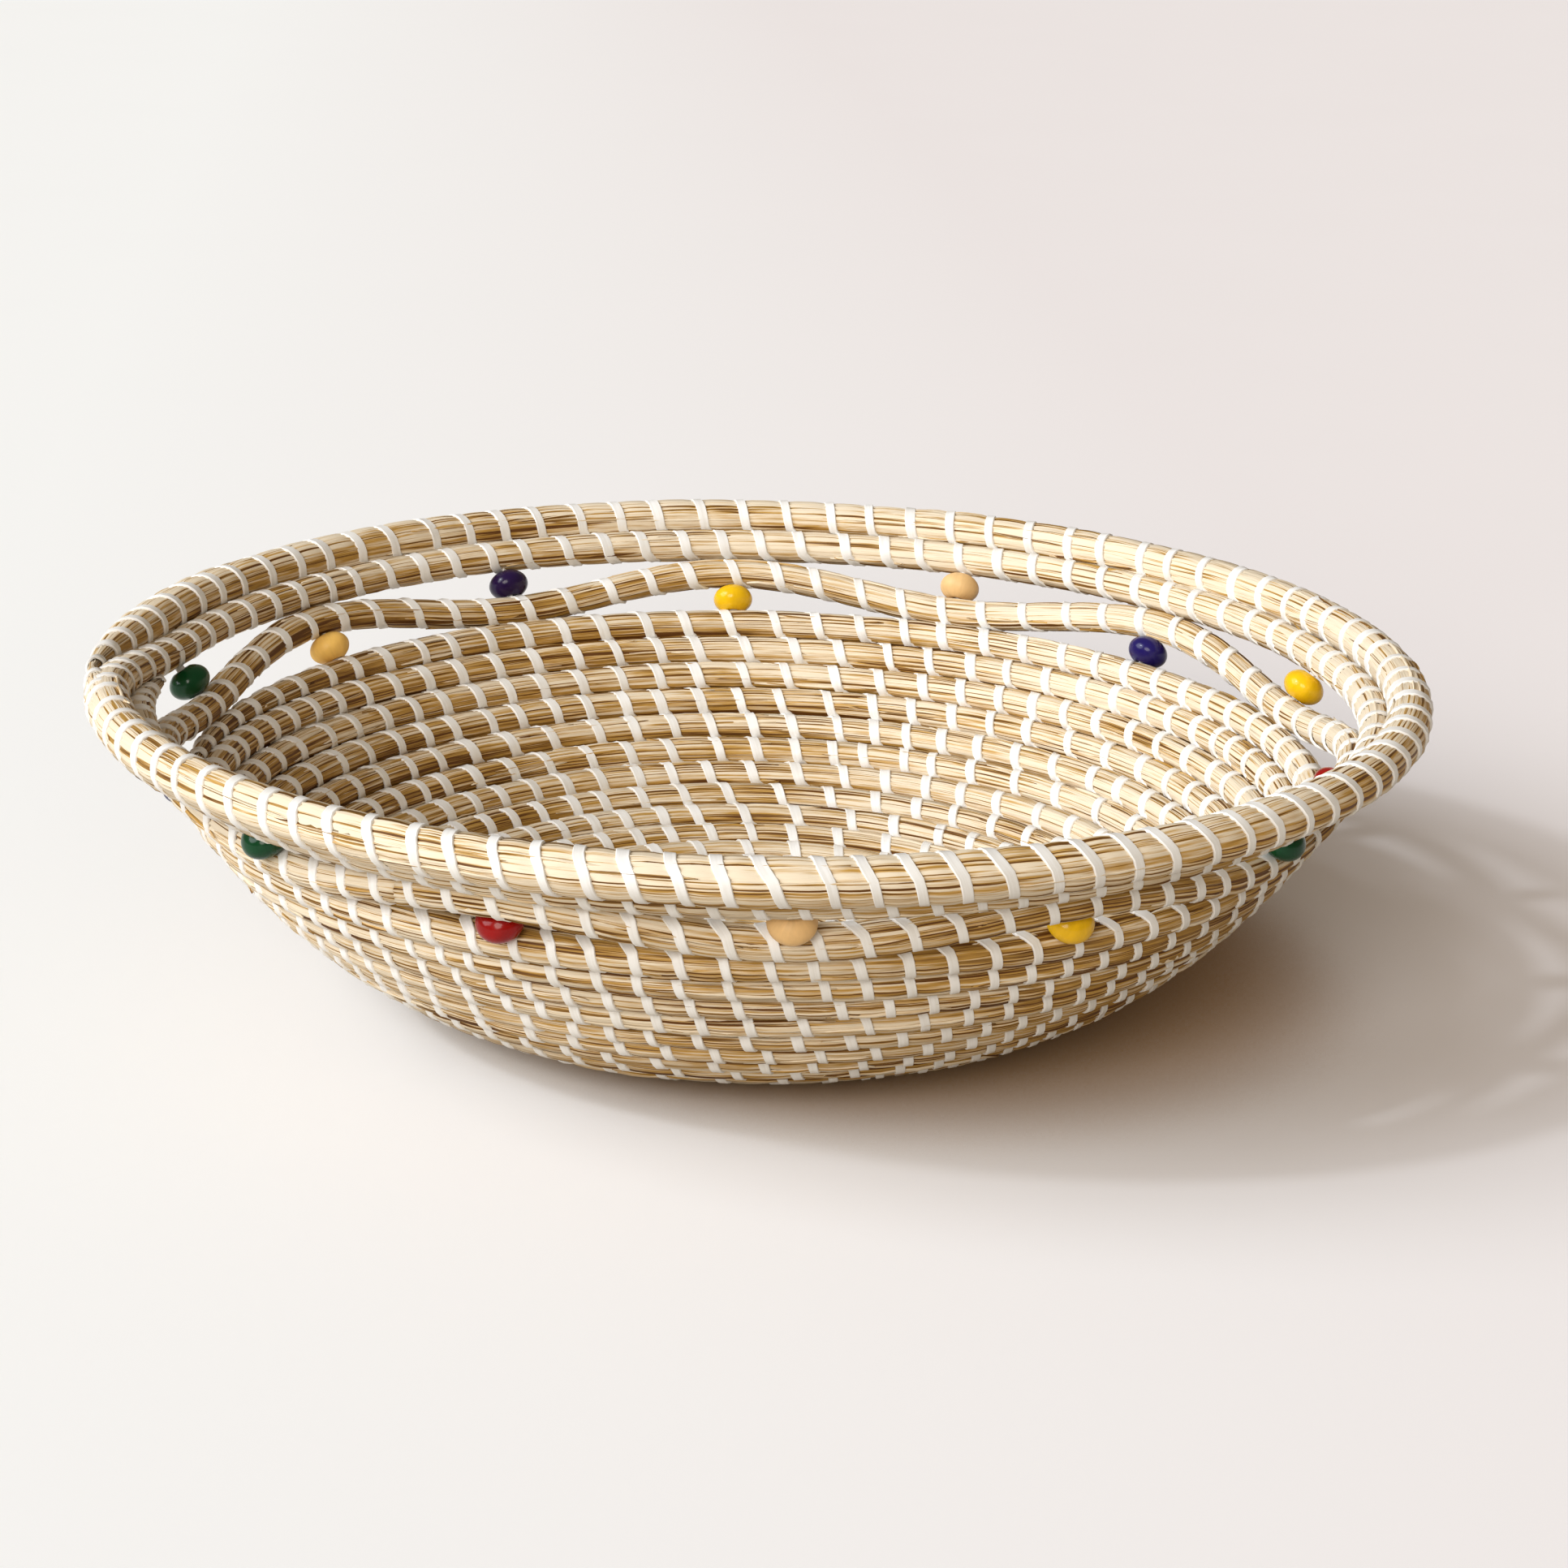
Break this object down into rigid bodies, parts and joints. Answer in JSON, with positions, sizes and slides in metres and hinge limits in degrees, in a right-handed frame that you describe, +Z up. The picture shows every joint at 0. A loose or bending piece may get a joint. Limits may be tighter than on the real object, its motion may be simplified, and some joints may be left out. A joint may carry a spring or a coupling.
{
  "type": "coiled seagrass basket",
  "caption": "Shallow round bowl basket of coiled seagrass cord bound with white strip, with an openwork band of wavy cord and wooden beads that spin under a two-turn rim.",
  "frame": {"origin": "middle of the underside, on the surface that the basket stands on", "axes": "+Z up along the bowl's axis, -Y to the front of the pictured view, +X to its right"},
  "size_m": [0.3577, 0.3588, 0.0927],
  "materials": {
    "seagrass": "matt dried grass",
    "strip": "satin",
    "bead_green": "gloss lacquer",
    "bead_navy": "gloss lacquer",
    "bead_purple": "gloss lacquer",
    "bead_red": "gloss lacquer",
    "bead_yellow": "gloss lacquer",
    "bead_ochre": "satin oiled",
    "bead_natural": "satin oiled"
  },
  "bodies": {
    "basket": {"base_coil": "seagrass", "wall_coil": "seagrass", "wave_coil": "seagrass", "rim_coil": "seagrass", "bead_strand_01": "strip", "bead_strand_02": "strip", "bead_strand_03": "strip", "bead_strand_04": "strip", "bead_strand_05": "strip", "bead_strand_06": "strip", "bead_strand_07": "strip", "bead_strand_08": "strip", "bead_strand_09": "strip", "bead_strand_10": "strip", "bead_strand_11": "strip", "bead_strand_12": "strip", "bead_strand_13": "strip", "bead_strand_14": "strip"},
    "bead_01": {"bead_01": "bead_green"},
    "bead_02": {"bead_02": "bead_navy"},
    "bead_03": {"bead_03": "bead_green"},
    "bead_04": {"bead_04": "bead_red"},
    "bead_05": {"bead_05": "bead_natural"},
    "bead_06": {"bead_06": "bead_yellow"},
    "bead_07": {"bead_07": "bead_green"},
    "bead_08": {"bead_08": "bead_red"},
    "bead_09": {"bead_09": "bead_yellow"},
    "bead_10": {"bead_10": "bead_navy"},
    "bead_11": {"bead_11": "bead_natural"},
    "bead_12": {"bead_12": "bead_yellow"},
    "bead_13": {"bead_13": "bead_purple"},
    "bead_14": {"bead_14": "bead_ochre"}
  },
  "joints": [
    {"name": "bead_01_spin", "type": "hinge", "parent": "basket", "child": "bead_01", "pos_m": [-0.15798, 0.02305, 0.07238], "axis": [-0.5746, 0.0838, 0.8141], "continuous": true},
    {"name": "bead_02_spin", "type": "hinge", "parent": "basket", "child": "bead_02", "pos_m": [-0.14757, -0.04628, 0.06538], "axis": [-0.557, -0.1747, 0.8119], "continuous": true},
    {"name": "bead_03_spin", "type": "hinge", "parent": "basket", "child": "bead_03", "pos_m": [-0.11652, -0.10915, 0.07238], "axis": [-0.4238, -0.397, 0.8141], "continuous": true},
    {"name": "bead_04_spin", "type": "hinge", "parent": "basket", "child": "bead_04", "pos_m": [-0.05582, -0.14423, 0.06538], "axis": [-0.2107, -0.5444, 0.8119], "continuous": true},
    {"name": "bead_05_spin", "type": "hinge", "parent": "basket", "child": "bead_05", "pos_m": [0.01269, -0.15915, 0.07238], "axis": [0.0461, -0.5789, 0.8141], "continuous": true},
    {"name": "bead_06_spin", "type": "hinge", "parent": "basket", "child": "bead_06", "pos_m": [0.07796, -0.13357, 0.06538], "axis": [0.2943, -0.5042, 0.8119], "continuous": true},
    {"name": "bead_07_spin", "type": "hinge", "parent": "basket", "child": "bead_07", "pos_m": [0.13234, -0.08931, 0.07238], "axis": [0.4813, -0.3248, 0.8141], "continuous": true},
    {"name": "bead_08_spin", "type": "hinge", "parent": "basket", "child": "bead_08", "pos_m": [0.15304, -0.02233, 0.06538], "axis": [0.5777, -0.0843, 0.8119], "continuous": true},
    {"name": "bead_09_spin", "type": "hinge", "parent": "basket", "child": "bead_09", "pos_m": [0.15234, 0.04778, 0.07238], "axis": [0.5541, 0.1738, 0.8141], "continuous": true},
    {"name": "bead_10_spin", "type": "hinge", "parent": "basket", "child": "bead_10", "pos_m": [0.11287, 0.10573, 0.06538], "axis": [0.426, 0.3991, 0.8119], "continuous": true},
    {"name": "bead_11_spin", "type": "hinge", "parent": "basket", "child": "bead_11", "pos_m": [0.05762, 0.14889, 0.07238], "axis": [0.2096, 0.5416, 0.8141], "continuous": true},
    {"name": "bead_12_spin", "type": "hinge", "parent": "basket", "child": "bead_12", "pos_m": [-0.01229, 0.15417, 0.06538], "axis": [-0.0464, 0.5819, 0.8119], "continuous": true},
    {"name": "bead_13_spin", "type": "hinge", "parent": "basket", "child": "bead_13", "pos_m": [-0.08048, 0.13789, 0.07238], "axis": [-0.2927, 0.5015, 0.8141], "continuous": true},
    {"name": "bead_14_spin", "type": "hinge", "parent": "basket", "child": "bead_14", "pos_m": [-0.12819, 0.08651, 0.06538], "axis": [-0.4839, 0.3266, 0.8119], "continuous": true}
  ]
}
